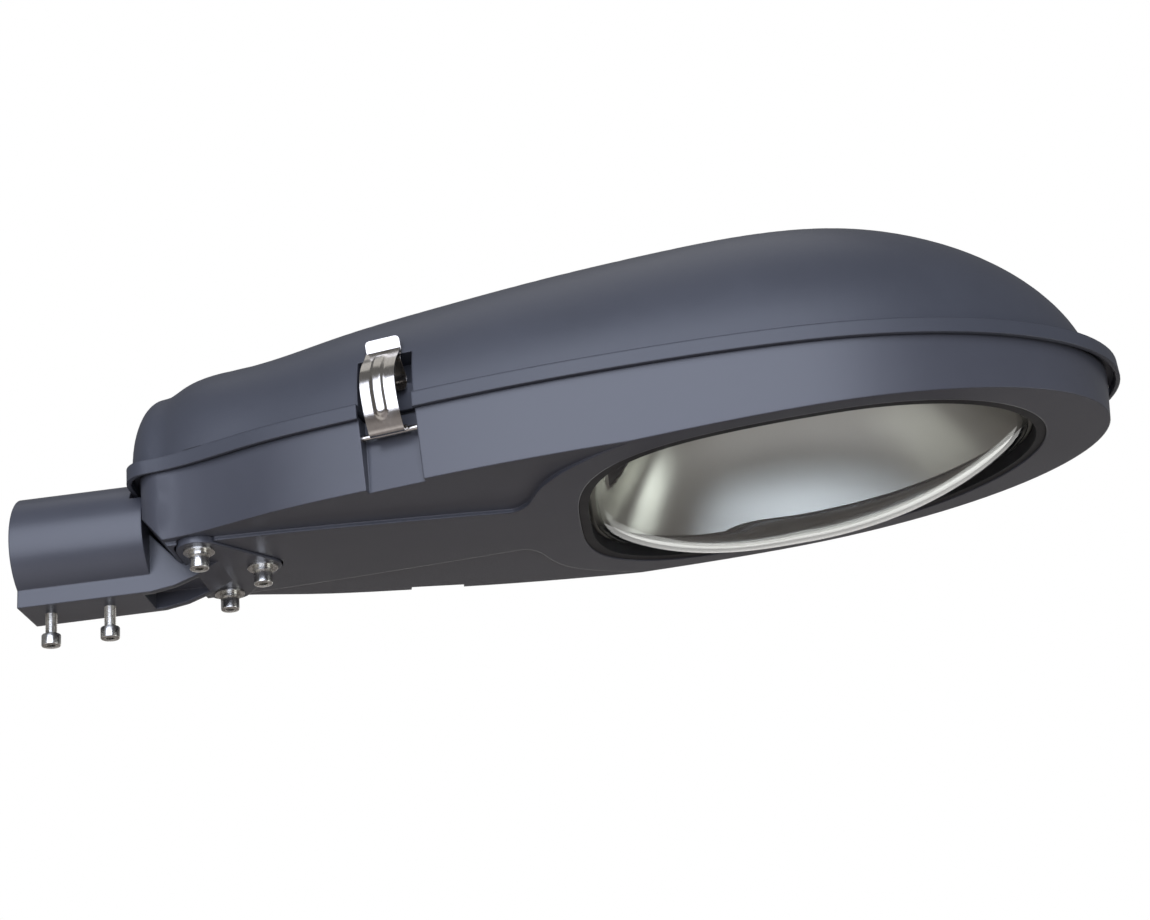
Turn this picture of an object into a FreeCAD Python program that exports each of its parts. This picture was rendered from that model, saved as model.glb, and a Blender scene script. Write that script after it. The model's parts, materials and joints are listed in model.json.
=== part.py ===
"""Sodium street light head: spigot adaptor, cast housing, hinged cover, side latches, optics and gear.

Millimetres. The origin is on the spigot axis at its open end, +X runs to the nose and +Z is up.
"""
import FreeCAD, Part
import math
import os

V = FreeCAD.Vector
UP = V(0, 0, 1)
ALONG = V(1, 0, 0)
ACROSS = V(0, 1, 0)
os.makedirs("parts", exist_ok=True)

# Driving sizes of the head
COVER_REAR = 84.0
COVER_NOSE = 770.0
WIDEST_X = 527.5
HALF_WIDTH = 138.5
REAR_TAPER = 0.588
REAR_CORNER = 20.0
RIM_Z = 21.5
SKIRT_WALL = 3.0
FLANGE_UNDER_Z = 28.0
DOME_Z = 32.0
DOME_INSET = 5.5
DOME_WALL = 3.0
CREST_X = 542.0
CREST_HEIGHT = 125.0
DOME_NOSE = COVER_NOSE - 16.5
DOME_REAR = COVER_REAR + 2.5
DOME_POWER = 2.15

HOUSING_REAR = COVER_REAR + 9.0
HOUSING_NOSE = COVER_NOSE - 8.5
HOUSING_INSET = 4.0
LAND_Z = FLANGE_UNDER_Z - 3.5
LAND_WIDTH = 5.5
LAND_DEEP = 14.0
SEAL_PLAY = 0.2
SHOULDER_Z = -25.4
KEEL_DROP = 3.0
KEEL_Z = SHOULDER_Z - KEEL_DROP
DRAFT = 8.5
DRAFT_FOOT_Z = -40.0
CASTING = 4.0
FLOOR_Z = SHOULDER_Z + CASTING
OPTIC_X = 372.0
OPTIC_TILT = 3.2

# Lens opening, in the tilted optic frame (z = 0 on the underside of the bezel)
OPENING_X = 545.0
OPENING_FRONT = 168.0
OPENING_REAR = 158.0
OPENING_HALF = 114.0
OPENING_POWER = 3.2
BEZEL = KEEL_DROP + CASTING
LENS_GASKET = 2.5
GASKET_LIP = 7.0
GLASS = 4.5
BOWL_DEPTH = 24.0
REFLECTOR_SHEET = 1.0
REFLECTOR_HEIGHT = 92.0

# Spigot adaptor
TUBE_R = 39.0
BORE_R = 31.0
TUBE_END = HOUSING_REAR - 1.5
BORE_DEEP = 82.0
RIB_HALF = 20.0
RIB_Z = -46.0
FLANGE_TOP = -22.0
FLANGE_THICK = 8.0
FLANGE_Z = FLANGE_TOP - FLANGE_THICK
FLANGE_SEAT_GAP = 1.2
BOLT_X = 131.5
BOLT_Y = 42.7
BOLT_TIP_X = 165.0
BOLT_R = 4.0
HEAD_R = 6.5
HEAD_H = 9.0
HOLE_PLAY = 0.05

# Latches and hinge
LATCH_X = 271.5
LATCH_HALF = 12.0
RECESS_HALF = 19.5
RECESS_WALL = 3.5
BEAD_HALF = 4.2
LEAF_SHEET = 0.8
TAB_CORNER = 3.5
LATCH_PIN_R = 2.0
LATCH_PIN_V = -10.5
LATCH_PIN_Z = 11.0
RECESS_FLOOR_V = -16.0
KEEPER_V = RECESS_FLOOR_V - 0.2
KEEPER_Z = 47.0
POCKET_V = -28.0
POCKET_TOP = 66.0
HINGE_X = COVER_NOSE - 13.5
HINGE_Z = 16.5
HINGE_PIN_R = 2.0
HINGE_HALF = 11.0

# Gear compartment
TRAY_TOP = -9.5
TRAY_SHEET = 1.5
TRAY_REAR = 125.0
TRAY_FRONT = 312.0
CABLE_Z = 8.0
LAMP_Z = 30.0
HOLDER_R = 28.0
HOLDER_REAR = 328.0
HOLDER_LONG = 62.0


def half_width(x, rear, nose, half):
    """Half the plan width at x: a parabola behind the widest place and an ellipse in front of it."""
    if x <= WIDEST_X:
        t = (WIDEST_X - x) / (WIDEST_X - rear)
        return half * (1.0 - REAR_TAPER * t * t)
    t = min(1.0, (x - WIDEST_X) / (nose - WIDEST_X))
    return half * math.sqrt(1.0 - t * t)


def teardrop_points(rear, nose, half, corner=REAR_CORNER):
    """Plan outline of the head as (x, y) points, once round."""
    side = [(rear, 0.0)]
    edge = half_width(rear + corner, rear, nose, half)
    side.append((rear, 0.55 * (edge - corner)))
    for step in range(0, 4):
        a = math.radians(22.5 * step)
        side.append((rear + corner * (1.0 - math.cos(a)), edge - corner * (1.0 - math.sin(a))))
    for step in range(0, 6):
        x = rear + corner + (WIDEST_X - rear - corner) * step / 6.0
        side.append((x, half_width(x, rear, nose, half)))
    for step in range(0, 8):
        a = math.radians(90.0 * step / 8.0)
        side.append((WIDEST_X + (nose - WIDEST_X) * math.sin(a), half * math.cos(a)))
    side.append((nose, 0.0))
    return side + [(x, -y) for x, y in reversed(side[1:-1])]


def closed_spline(points, like):
    """Periodic spline wire through the points, with the chord spacing of the outline it is like."""
    spacing = [0.0]
    for (ax, ay), (bx, by) in zip(like, like[1:] + like[:1]):
        spacing.append(spacing[-1] + math.hypot(bx - ax, by - ay))
    curve = Part.BSplineCurve()
    curve.interpolate(Points=points, PeriodicFlag=True, Parameters=spacing)
    return Part.Wire([curve.toShape()])


def teardrop(rear, nose, half, z):
    """Closed plan outline of the head at height z; all outlines share one spacing, so lofts line up."""
    points = [V(x, y, z) for x, y in teardrop_points(rear, nose, half)]
    return closed_spline(points, teardrop_points(COVER_REAR, COVER_NOSE, HALF_WIDTH))


def prism(wire, height):
    return Part.Face(wire).extrude(V(0, 0, height))


def box(x0, x1, y0, y1, z0, z1):
    return Part.makeBox(x1 - x0, y1 - y0, z1 - z0, V(x0, y0, z0))


def rod(radius, start, direction, length):
    return Part.makeCylinder(radius, length, start, direction)


def ring(outer, inner, start, direction, length):
    return rod(outer, start, direction, length).cut(rod(inner, start, direction, length))


def side_profile(points, half):
    """Solid with the given (x, z) outline, from -half to +half across."""
    loop = [V(x, -half, z) for x, z in points]
    wire = Part.makePolygon(loop + [loop[0]])
    return Part.Face(wire).extrude(V(0, 2.0 * half, 0))


def arch(x, half, height, base, power):
    """Closed section across the head: a superellipse arch on a straight base."""
    points = []
    for step in range(0, 13):
        a = math.pi * step / 12.0
        c = math.cos(a)
        s = math.sin(a)
        y = math.copysign(abs(c) ** (2.0 / power), c) * half
        z = abs(s) ** (2.0 / power) * height
        points.append(V(x, y, base + z))
    curve = Part.BSplineCurve()
    curve.interpolate(Points=points, Parameters=[float(i) for i in range(13)])
    return Part.Wire([curve.toShape(), Part.makeLine(points[-1], points[0])])


def group(shapes):
    return Part.makeCompound(shapes)


def to_optic(shape):
    """Places a shape from the optic frame: bezel underside at z = 0, tilted nose up."""
    moved = shape.copy()
    moved.translate(V(0, 0, KEEL_Z))
    moved.rotate(V(OPTIC_X, 0, KEEL_Z), ACROSS, -OPTIC_TILT)
    return moved


def to_latch(shape, side):
    """Places a latch shape: local x runs along the rim, y points out from the skirt, side is +1 or -1 in Y."""
    reach = half_width(LATCH_X, COVER_REAR, COVER_NOSE, HALF_WIDTH)
    lean = 2.0 * HALF_WIDTH * REAR_TAPER * (WIDEST_X - LATCH_X) / (WIDEST_X - COVER_REAR) ** 2
    moved = shape.copy()
    moved.rotate(V(0, 0, 0), UP, math.degrees(math.atan(lean)))
    moved.translate(V(LATCH_X, reach, 0))
    if side < 0:
        moved = moved.mirror(V(0, 0, 0), ACROSS)
    return moved


def crest(x):
    """Height of the dome above its base along the middle."""
    if x <= CREST_X:
        t = (CREST_X - x) / (CREST_X - COVER_REAR)
        return CREST_HEIGHT * (1.0 - 0.47 * t ** 1.4)
    t = min(1.0, (x - CREST_X) / (DOME_NOSE - CREST_X))
    return CREST_HEIGHT * (1.0 - t ** 2.1) ** 0.6


def dome(inset):
    """Dome as a solid loft from the rounded rear end to a point at the nose."""
    rear = DOME_REAR + inset
    nose = DOME_NOSE - 1.2 * inset
    half = HALF_WIDTH - DOME_INSET
    sections = []
    for back, width, height in ((0.0, 0.70, 0.52), (2.0, 0.84, 0.74), (7.0, 0.94, 0.88), (16.0, 0.985, 0.965),
                                (25.0, 0.975, 0.962)):
        x = rear + back
        w = half_width(x, DOME_REAR, DOME_NOSE, half) * width
        sections.append(arch(x, w - inset, crest(x) * height - inset, DOME_Z, DOME_POWER))
    for part in (0.0, 0.12, 0.28, 0.46, 0.64, 0.82):
        x = rear + 34.0 + (WIDEST_X - rear - 34.0) * part
        w = half_width(x, DOME_REAR, DOME_NOSE, half)
        sections.append(arch(x, w - inset, crest(x) - inset, DOME_Z, DOME_POWER))
    for part in (0.0, 0.28, 0.5, 0.68, 0.82, 0.92, 0.98):
        x = WIDEST_X + (nose - WIDEST_X) * part
        outer_x = WIDEST_X + (DOME_NOSE - WIDEST_X) * part
        w = half_width(outer_x, DOME_REAR, DOME_NOSE, half)
        scale = (half - inset) / half
        tall = (CREST_HEIGHT - inset) / CREST_HEIGHT
        sections.append(arch(x, w * scale, crest(outer_x) * tall, DOME_Z, DOME_POWER))
    sections.append(Part.Vertex(nose, 0.0, DOME_Z))
    return Part.makeLoft(sections, True, False)


def egg_points(grow):
    """Outline of the lens opening, grown along its axes, as (x, y) points once round."""
    points = []
    for step in range(0, 28):
        a = 2.0 * math.pi * step / 28.0
        c = math.cos(a)
        s = math.sin(a)
        if c >= 0.0:
            x = (OPENING_FRONT + grow) * c
            y = (OPENING_HALF + grow) * s
        else:
            x = -(OPENING_REAR + grow) * abs(c) ** (2.0 / OPENING_POWER)
            y = math.copysign((OPENING_HALF + grow) * abs(s) ** (2.0 / OPENING_POWER), s)
        points.append((OPENING_X + x, y))
    return points


def egg(grow, z):
    """Closed outline of the lens opening at height z of the optic frame."""
    return closed_spline([V(x, y, z) for x, y in egg_points(grow)], egg_points(0.0))


def bowl(shrink, depth, base, power):
    """Bowl over the shrunken egg outline, up (depth > 0) or down (depth < 0), with a small flat crown."""
    rim = egg_points(-shrink)
    rings = []
    for part in (0.0, 0.3, 0.55, 0.75, 0.89, 0.97, 0.994, 0.9992):
        scale = (1.0 - part ** power) ** (1.0 / power)
        points = [V(OPENING_X + (x - OPENING_X) * scale, y * scale, base + depth * part) for x, y in rim]
        rings.append(closed_spline(points, egg_points(0.0)))
    return Part.makeLoft(rings, True, False)


def bent_strip(path, sheet, half):
    """Sheet bent along a smooth (y, z) path, from -half to +half along x."""
    left = []
    right = []
    for i, (y, z) in enumerate(path):
        ahead = path[min(i + 1, len(path) - 1)]
        behind = path[max(i - 1, 0)]
        length = math.hypot(ahead[0] - behind[0], ahead[1] - behind[1])
        ny = -(ahead[1] - behind[1]) / length * sheet / 2.0
        nz = (ahead[0] - behind[0]) / length * sheet / 2.0
        left.append(V(-half, y + ny, z + nz))
        right.append(V(-half, y - ny, z - nz))
    edge_a = Part.BSplineCurve()
    edge_a.interpolate(Points=left)
    edge_b = Part.BSplineCurve()
    edge_b.interpolate(Points=right)
    wire = Part.Wire([
        edge_a.toShape(),
        Part.makeLine(left[-1], right[-1]),
        edge_b.toShape(),
        Part.makeLine(right[0], left[0]),
    ])
    return Part.Face(wire).extrude(V(2.0 * half, 0, 0))


# Spigot adaptor

def flange_plan(grow, z):
    """Three cornered flange outline with rounded corners."""
    corners = ((BOLT_X, BOLT_Y, 15.0 + grow), (BOLT_X, -BOLT_Y, 15.0 + grow), (BOLT_TIP_X, 0.0, 13.0 + grow))
    shape = None
    for x, y, r in corners:
        disc = rod(r, V(x, y, z), UP, FLANGE_THICK)
        shape = disc if shape is None else shape.fuse(disc)
    for i in range(0, 3):
        ax, ay, ar = corners[i]
        bx, by, br = corners[(i + 1) % 3]
        d = math.hypot(bx - ax, by - ay)
        turn = math.atan2(by - ay, bx - ax)
        open_angle = math.acos((ar - br) / d)
        loop = []
        for cx, cy, r, sign in ((ax, ay, ar, 1), (bx, by, br, 1), (bx, by, br, -1), (ax, ay, ar, -1)):
            a = turn + sign * open_angle
            loop.append(V(cx + r * math.cos(a), cy + r * math.sin(a), z))
        web = Part.Face(Part.makePolygon(loop + [loop[0]])).extrude(V(0, 0, FLANGE_THICK))
        shape = shape.fuse(web)
    middle = Part.makePolygon([V(x, y, z) for x, y, r in corners] + [V(corners[0][0], corners[0][1], z)])
    return shape.fuse(Part.Face(middle).extrude(V(0, 0, FLANGE_THICK))).removeSplitter()


def bolt_places():
    return ((BOLT_X, -BOLT_Y), (BOLT_X, BOLT_Y), (BOLT_TIP_X, 0.0))


def clamp_screw_places():
    return (17.0, 58.0)


def make_adaptor():
    tube = rod(TUBE_R, V(0, 0, 0), ALONG, TUBE_END)
    rib = box(0, TUBE_END, -RIB_HALF, RIB_HALF, RIB_Z, -20.0)
    neck = side_profile([
        (60.0, -25.0), (60.0, RIB_Z), (92.0, RIB_Z), (108.0, RIB_Z + 2.5), (124.0, RIB_Z + 8.0),
        (139.0, FLANGE_Z), (139.0, FLANGE_TOP - 1.0), (118.0, FLANGE_TOP - 1.0),
        (112.5, FLANGE_TOP - 5.5), (TUBE_END, -4.0), (TUBE_END, -2.0), (80.0, -2.0),
    ], RIB_HALF)
    body = tube.fuse([rib, neck, flange_plan(0.0, FLANGE_Z)])
    under_cover = box(COVER_REAR - 1.8, TUBE_END + 5.0, -60, 60, RIM_Z - 3.5, 60)
    bore = rod(BORE_R, V(-1, 0, 0), ALONG, BORE_DEEP + 1.0)
    cable_way = rod(9.0, V(BORE_DEEP - 1.0, 0, CABLE_Z), ALONG, 20.0)
    pocket = box(86.0, 124.0, -RIB_HALF + 5.0, RIB_HALF - 5.0, RIB_Z - 5.0, FLANGE_Z - 4.0)
    body = body.cut([under_cover, bore, cable_way, pocket])
    for x, y in bolt_places():
        body = body.cut(rod(BOLT_R + 0.5, V(x, y, FLANGE_Z - 20.0), UP, 40.0))
    for x in clamp_screw_places():
        body = body.cut(rod(BOLT_R + HOLE_PLAY, V(x, 0, RIB_Z - 5.0), UP, 20.0))
    return body.removeSplitter()


def hex_socket(x, y, z, across, deep):
    """Hexagonal recess cut upwards from the bottom face of a screw head."""
    r = across / math.sqrt(3.0)
    loop = [V(x + r * math.cos(math.pi * i / 3.0), y + r * math.sin(math.pi * i / 3.0), z) for i in range(6)]
    return Part.Face(Part.makePolygon(loop + [loop[0]])).extrude(V(0, 0, deep))


WASHER_H = 1.8
SPRING_H = 2.6


def make_flange_bolts():
    bolts = []
    for x, y in bolt_places():
        top = FLANGE_Z - WASHER_H - SPRING_H
        head = rod(HEAD_R, V(x, y, top - HEAD_H), UP, HEAD_H)
        shank = rod(BOLT_R, V(x, y, top), UP, FLANGE_TOP + 5.5 - top)
        bolts.append(head.fuse(shank).cut(hex_socket(x, y, top - HEAD_H, 6.0, 4.5)).removeSplitter())
    return group(bolts)


def make_flange_washers():
    return group([ring(10.5, BOLT_R + 0.3, V(x, y, FLANGE_Z - WASHER_H), UP, WASHER_H) for x, y in bolt_places()])


def make_spring_washers():
    rings = []
    for x, y in bolt_places():
        low = FLANGE_Z - WASHER_H - SPRING_H
        turn = ring(7.0, BOLT_R + 0.2, V(x, y, low), UP, SPRING_H)
        split = box(x - 0.5, x + 0.5, y, y + 9.0, low - 1.0, low + SPRING_H + 1.0)
        split.rotate(V(x, y, low + SPRING_H / 2.0), ACROSS, 20.0)
        rings.append(turn.cut(split))
    return group(rings)


def make_clamp_screws():
    screws = []
    for x in clamp_screw_places():
        low = RIB_Z - 23.0
        head = rod(HEAD_R, V(x, 0, low), UP, 8.0)
        shank = rod(BOLT_R, V(x, 0, low + 8.0), UP, -BORE_R - 1.0 - low - 8.0)
        screws.append(head.fuse(shank).cut(hex_socket(x, 0, low, 6.0, 4.0)).removeSplitter())
    return group(screws)


# Lower housing

def housing_profile(raise_by, rear, half):
    """Side view of the housing from the keel up; raise_by lifts the underside to make the cavity."""
    slope = math.tan(math.radians(OPTIC_TILT))
    low = KEEL_Z + raise_by
    end = COVER_NOSE + 20.0
    return side_profile([
        (rear, 60.0), (rear, -2.0 + 0.4 * raise_by), (rear + 20.0, low), (OPTIC_X, low),
        (end, low + (end - OPTIC_X) * slope), (end, 60.0),
    ], half)


def draft_body(inset):
    """Drafted body between the land outline and a narrower foot outline below."""
    rear = HOUSING_REAR + inset
    nose = HOUSING_NOSE - inset
    half = HALF_WIDTH - HOUSING_INSET - inset
    top = teardrop(rear, nose, half, LAND_Z)
    lean = DRAFT * (LAND_Z - DRAFT_FOOT_Z) / (LAND_Z - SHOULDER_Z)
    foot = teardrop(rear + 0.5, nose - 0.85 * lean, half - lean, DRAFT_FOOT_Z)
    return Part.makeLoft([top, foot], True, True)


def keel_plan():
    """Spoon shaped plan of the keel: narrow under the gear, flaring out to the wall at the optic."""
    flare = [(344.0, 36.0), (353.0, 43.0), (359.5, 58.0), (367.0, 74.0), (378.0, 88.0), (392.0, 100.0), (412.0, 113.0),
             (445.0, 127.0)]
    side = [(HOUSING_REAR - 30.0, 52.0), (190.0, 50.5), (254.0, 45.0), (300.0, 40.5), (336.0, 36.2)]
    points = [V(x, y, DRAFT_FOOT_Z) for x, y in side + flare]
    near = [V(p.x, -p.y, p.z) for p in reversed(points)]
    edges = []
    for run in (points, near):
        curve = Part.BSplineCurve()
        curve.interpolate(Points=run)
        edges.append(curve.toShape())
    front = [points[-1], V(460.0, 170.0, DRAFT_FOOT_Z), V(800.0, 170.0, DRAFT_FOOT_Z)]
    front += [V(p.x, -p.y, p.z) for p in reversed(front)]
    lines = [Part.makeLine(a, b) for a, b in zip(front[:-1], front[1:])]
    lines.append(Part.makeLine(near[-1], points[0]))
    return Part.Wire(Part.__sortEdges__(edges + lines))


def tray_posts():
    return ((215.0, -8.5), (262.0, 68.0), (262.0, -70.0), (306.0, 0.0))


def bracket_posts():
    return ((340.0, 22.0), (340.0, -22.0))


def clip_places():
    return ((376.0, 48.0), (376.0, -48.0), (719.0, 32.0), (719.0, -32.0))


CLIP_SEAT = BEZEL + LENS_GASKET + GLASS + REFLECTOR_SHEET


def make_housing():
    body = draft_body(0.0).common(housing_profile(0.0, HOUSING_REAR, 200.0))
    shoulder = box(0, 500, -200, 200, DRAFT_FOOT_Z - 10.0, SHOULDER_Z).cut(prism(keel_plan(), 40.0))
    body = body.cut(shoulder)
    hollow = draft_body(CASTING).common(housing_profile(KEEL_DROP + CASTING, HOUSING_REAR + CASTING, 200.0))
    deck = box(0, 900, -200, 200, LAND_Z - LAND_DEEP, 60)
    mouth = prism(teardrop(HOUSING_REAR + 6.0, COVER_NOSE - 25.5, HALF_WIDTH - HOUSING_INSET - LAND_WIDTH, -60.0), 120.0)
    hollow = hollow.cut(deck.cut(mouth))
    inside = []
    for side in (1, -1):
        boss = box(-RECESS_HALF - 8.5, RECESS_HALF + 8.5, -25.5, 8.0, SHOULDER_Z, LAND_Z)
        inside.append(to_latch(boss, side))
    pad = flange_plan(6.0, FLANGE_TOP - 4.0).common(box(0, 300, -120, 120, FLANGE_TOP - 4.0, FLANGE_TOP + 6.0))
    inside.append(pad)
    hollow = hollow.cut(inside)
    body = body.cut(hollow)
    for x, y in tray_posts():
        body = body.fuse(rod(6.0, V(x, y, FLOOR_Z - 1.0), UP, TRAY_TOP - TRAY_SHEET - FLOOR_Z + 1.0))
    for x, y in bracket_posts():
        body = body.fuse(rod(5.0, V(x, y, FLOOR_Z - 1.0), UP, 8.5))
    for x, y in clip_places():
        body = body.fuse(to_optic(rod(5.0, V(x, y, BEZEL - 1.0), UP, CLIP_SEAT - BEZEL + 1.0)))
    cuts = [to_optic(prism(egg(0.0, -20.0), 40.0))]
    cuts.append(flange_plan(FLANGE_SEAT_GAP, FLANGE_TOP - FLANGE_THICK))
    cuts.append(box(60.0, BOLT_X, -RIB_HALF - 1.5, RIB_HALF + 1.5, KEEL_Z - 10.0, FLANGE_TOP))
    for side in (1, -1):
        cuts.append(to_latch(box(-RECESS_HALF, RECESS_HALF, RECESS_FLOOR_V, 20.0, -60.0, 60.0), side))
        pin = rod(LATCH_PIN_R + HOLE_PLAY, V(-RECESS_HALF - 4.0, LATCH_PIN_V, LATCH_PIN_Z), ALONG, 2 * RECESS_HALF + 8.0)
        cuts.append(to_latch(pin, side))
    cuts.append(box(HINGE_X - 6.0, 800.0, -HINGE_HALF - 1.0, HINGE_HALF + 1.0, HINGE_Z - 5.5, 60.0))
    cuts.append(rod(HINGE_PIN_R + HOLE_PLAY, V(HINGE_X, -19.0, HINGE_Z), ACROSS, 38.0))
    cuts.append(rod(9.0, V(80.0, 0, CABLE_Z), ALONG, 30.0))
    for x, y in bolt_places():
        cuts.append(rod(BOLT_R + HOLE_PLAY, V(x, y, FLANGE_TOP - 5.0), UP, 11.5))
    for x, y in tray_posts():
        cuts.append(rod(2.5 + HOLE_PLAY, V(x, y, FLOOR_Z), UP, 20.0))
    for x, y in bracket_posts():
        cuts.append(rod(2.0 + HOLE_PLAY, V(x, y, FLOOR_Z), UP, 20.0))
    for x, y in clip_places():
        cuts.append(to_optic(rod(2.0 + HOLE_PLAY, V(x, y, BEZEL), UP, 20.0)))
    return body.cut(cuts).removeSplitter()


def make_cover_gasket():
    """Seal on the housing land, stepping in behind each latch recess."""
    height = FLANGE_UNDER_Z - LAND_Z - SEAL_PLAY
    outer = teardrop(HOUSING_REAR + 1.0, COVER_NOSE - 20.0, HALF_WIDTH - HOUSING_INSET - 0.8, LAND_Z)
    inner = teardrop(HOUSING_REAR + 5.6, COVER_NOSE - 25.0, HALF_WIDTH - HOUSING_INSET - LAND_WIDTH + 0.4, LAND_Z)
    seal = prism(outer, height).cut(prism(inner, height))
    clear = RECESS_HALF + RECESS_WALL
    for side in (1, -1):
        gone = box(-clear, clear, -19.5, 20.0, LAND_Z - 1.0, FLANGE_UNDER_Z + 1.0)
        step = box(-clear - 4.0, clear + 4.0, -24.5, -6.0, LAND_Z, LAND_Z + height)
        step = step.cut(box(-clear, clear, -20.0, 20.0, LAND_Z - 1.0, FLANGE_UNDER_Z + 1.0))
        seal = seal.cut(to_latch(gone, side)).fuse(to_latch(step, side).common(prism(outer, height)))
    return seal.removeSplitter()


# Cover and its hinge

def make_cover():
    rim = prism(teardrop(COVER_REAR, COVER_NOSE, HALF_WIDTH, RIM_Z), DOME_Z - RIM_Z)
    shell = rim.fuse(dome(0.0))
    solid = shell.copy()
    room = prism(teardrop(COVER_REAR + SKIRT_WALL, COVER_NOSE - SKIRT_WALL, HALF_WIDTH - SKIRT_WALL, RIM_Z - 5.0),
                 FLANGE_UNDER_Z - RIM_Z + 5.0)
    throat = prism(teardrop(DOME_REAR + 6.0, DOME_NOSE - 6.0, HALF_WIDTH - DOME_INSET - 4.5, RIM_Z), DOME_Z - RIM_Z + 0.5)
    shell = shell.cut([room, throat, dome(DOME_WALL)])
    outer = RECESS_HALF + RECESS_WALL
    for side in (1, -1):
        block = to_latch(box(-outer, outer, POCKET_V - 5.0, 10.0, FLANGE_UNDER_Z, POCKET_TOP + 4.0), side).common(solid)
        wide = RECESS_HALF - 0.5
        keeper = to_latch(box(-wide, wide, KEEPER_V, 20.0, RIM_Z - 5.0, POCKET_TOP), side)
        pocket = to_latch(box(-wide, wide, POCKET_V, 20.0, KEEPER_Z, POCKET_TOP), side)
        shell = shell.fuse(block).cut([keeper, pocket])
    stem = box(HINGE_X - 4.0, HINGE_X + 4.0, -HINGE_HALF, HINGE_HALF, HINGE_Z, FLANGE_UNDER_Z + 1.0)
    eye = rod(4.0, V(HINGE_X, -HINGE_HALF, HINGE_Z), ACROSS, 2.0 * HINGE_HALF)
    hole = rod(HINGE_PIN_R + 0.3, V(HINGE_X, -20.0, HINGE_Z), ACROSS, 40.0)
    return shell.fuse([stem, eye]).cut(hole).removeSplitter()


def make_hinge_pin():
    return rod(HINGE_PIN_R, V(HINGE_X, -18.5, HINGE_Z), ACROSS, 37.0)


# Latches

STRAP_PATH = ((-7.55, 10.0), (-7.3, 13.0), (-5.6, 20.0), (-2.6, 31.0), (-1.2, 42.0), (-2.2, 52.0), (-3.5, 60.25))
LEAF_PATH = ((6.5, 66.5), (3.0, 63.6), (-1.6, 61.6), (-6.5, 59.8), (-11.5, 55.5), (-16.1, 49.8), (-15.0, 45.5),
             (-12.2, 41.0), (-10.6, 40.2))


def make_latch_strap(side):
    curl = ring(3.5, LATCH_PIN_R + 0.3, V(-LATCH_HALF, LATCH_PIN_V, LATCH_PIN_Z), ALONG, 2.0 * LATCH_HALF)
    strap = bent_strip(STRAP_PATH, 1.2, LATCH_HALF)
    strap = strap.cut(rod(2.9, V(-LATCH_HALF - 1.0, LATCH_PIN_V, LATCH_PIN_Z), ALONG, 2.0 * LATCH_HALF + 2.0))
    bead = [(y + 0.9, z) for y, z in STRAP_PATH[2:6]]
    foot = bead[0][1] + BEAD_HALF
    tongue = box(-BEAD_HALF, BEAD_HALF, -30.0, 30.0, foot, 80.0).fuse(rod(BEAD_HALF, V(0, -30.0, foot), ACROSS, 60.0))
    rib = bent_strip(bead, 1.8, BEAD_HALF).common(tongue)
    return to_latch(curl.fuse([strap, rib]).removeSplitter(), side)


def make_latch_leaf(side):
    leaf = bent_strip(LEAF_PATH, LEAF_SHEET, LATCH_HALF)
    tip_y = LEAF_PATH[0][0]
    corners = [e for e in leaf.Edges if e.Length < 1.2 * LEAF_SHEET and e.CenterOfMass.y > tip_y - 1.0]
    return to_latch(leaf.makeFillet(TAB_CORNER, corners), side)


def make_latch_pins():
    half = RECESS_HALF + RECESS_WALL
    pin = rod(LATCH_PIN_R, V(-half, LATCH_PIN_V, LATCH_PIN_Z), ALONG, 2.0 * half)
    return group([to_latch(pin, 1), to_latch(pin, -1)])


# Optics

def make_lens_gasket():
    seat = prism(egg(5.0, BEZEL), LENS_GASKET).cut(prism(egg(-GASKET_LIP, BEZEL), LENS_GASKET))
    lip = prism(egg(-0.2, 0.8), BEZEL - 0.8).cut(prism(egg(-GASKET_LIP, 0.8), BEZEL - 0.8))
    return to_optic(seat.fuse(lip).removeSplitter())


def make_glass():
    base = BEZEL + LENS_GASKET
    inset = GASKET_LIP + 0.6
    rim = prism(egg(4.0, base), GLASS)
    outer = bowl(inset, -(BOWL_DEPTH + base), base, 2.4)
    inner = bowl(inset + GLASS, -(BOWL_DEPTH + base - GLASS), base, 2.4)
    throat = prism(egg(-inset - GLASS - 1.5, base - 0.5), GLASS + 1.0)
    return to_optic(outer.cut(inner).fuse(rim.cut(throat)).removeSplitter())


def make_reflector():
    base = BEZEL + LENS_GASKET + GLASS
    sheet = REFLECTOR_SHEET
    rim = prism(egg(3.0, base), sheet)
    outer = bowl(14.0, REFLECTOR_HEIGHT, base, 2.3)
    inner = bowl(14.0 + sheet, REFLECTOR_HEIGHT - sheet, base, 2.3)
    throat = prism(egg(-16.5, base - 0.5), sheet + 1.0)
    lamp_hole = rod(HOLDER_R + 2.0, V(380.0, 0, LAMP_Z), ALONG, 60.0)
    return to_optic(outer.cut(inner).fuse(rim.cut(throat))).cut(lamp_hole).removeSplitter()


def make_clips():
    clips = []
    for x, y in clip_places():
        inward = 1.0 if x < OPENING_X else -1.0
        reach = sorted((x - 7.0 * inward, x + 16.0 * inward))
        plate = box(reach[0], reach[1], y - 7.0, y + 7.0, CLIP_SEAT, CLIP_SEAT + 1.5)
        clips.append(to_optic(plate.cut(rod(2.3, V(x, y, 0), UP, 40.0))))
    return group(clips)


def pan_screw(x, y, seat, radius, long):
    """Pan head screw standing on a seat and reaching down."""
    head = rod(1.9 * radius, V(x, y, seat), UP, 1.2 * radius)
    shank = rod(radius, V(x, y, seat - long), UP, long)
    slot = box(x - 1.6 * radius, x + 1.6 * radius, y - 0.4, y + 0.4, seat + 0.6 * radius, seat + 3.0 * radius)
    return head.fuse(shank).cut(slot)


def make_clip_screws():
    return group([to_optic(pan_screw(x, y, CLIP_SEAT + 1.5, 2.0, 9.0)) for x, y in clip_places()])


# Lamp and gear

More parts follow.
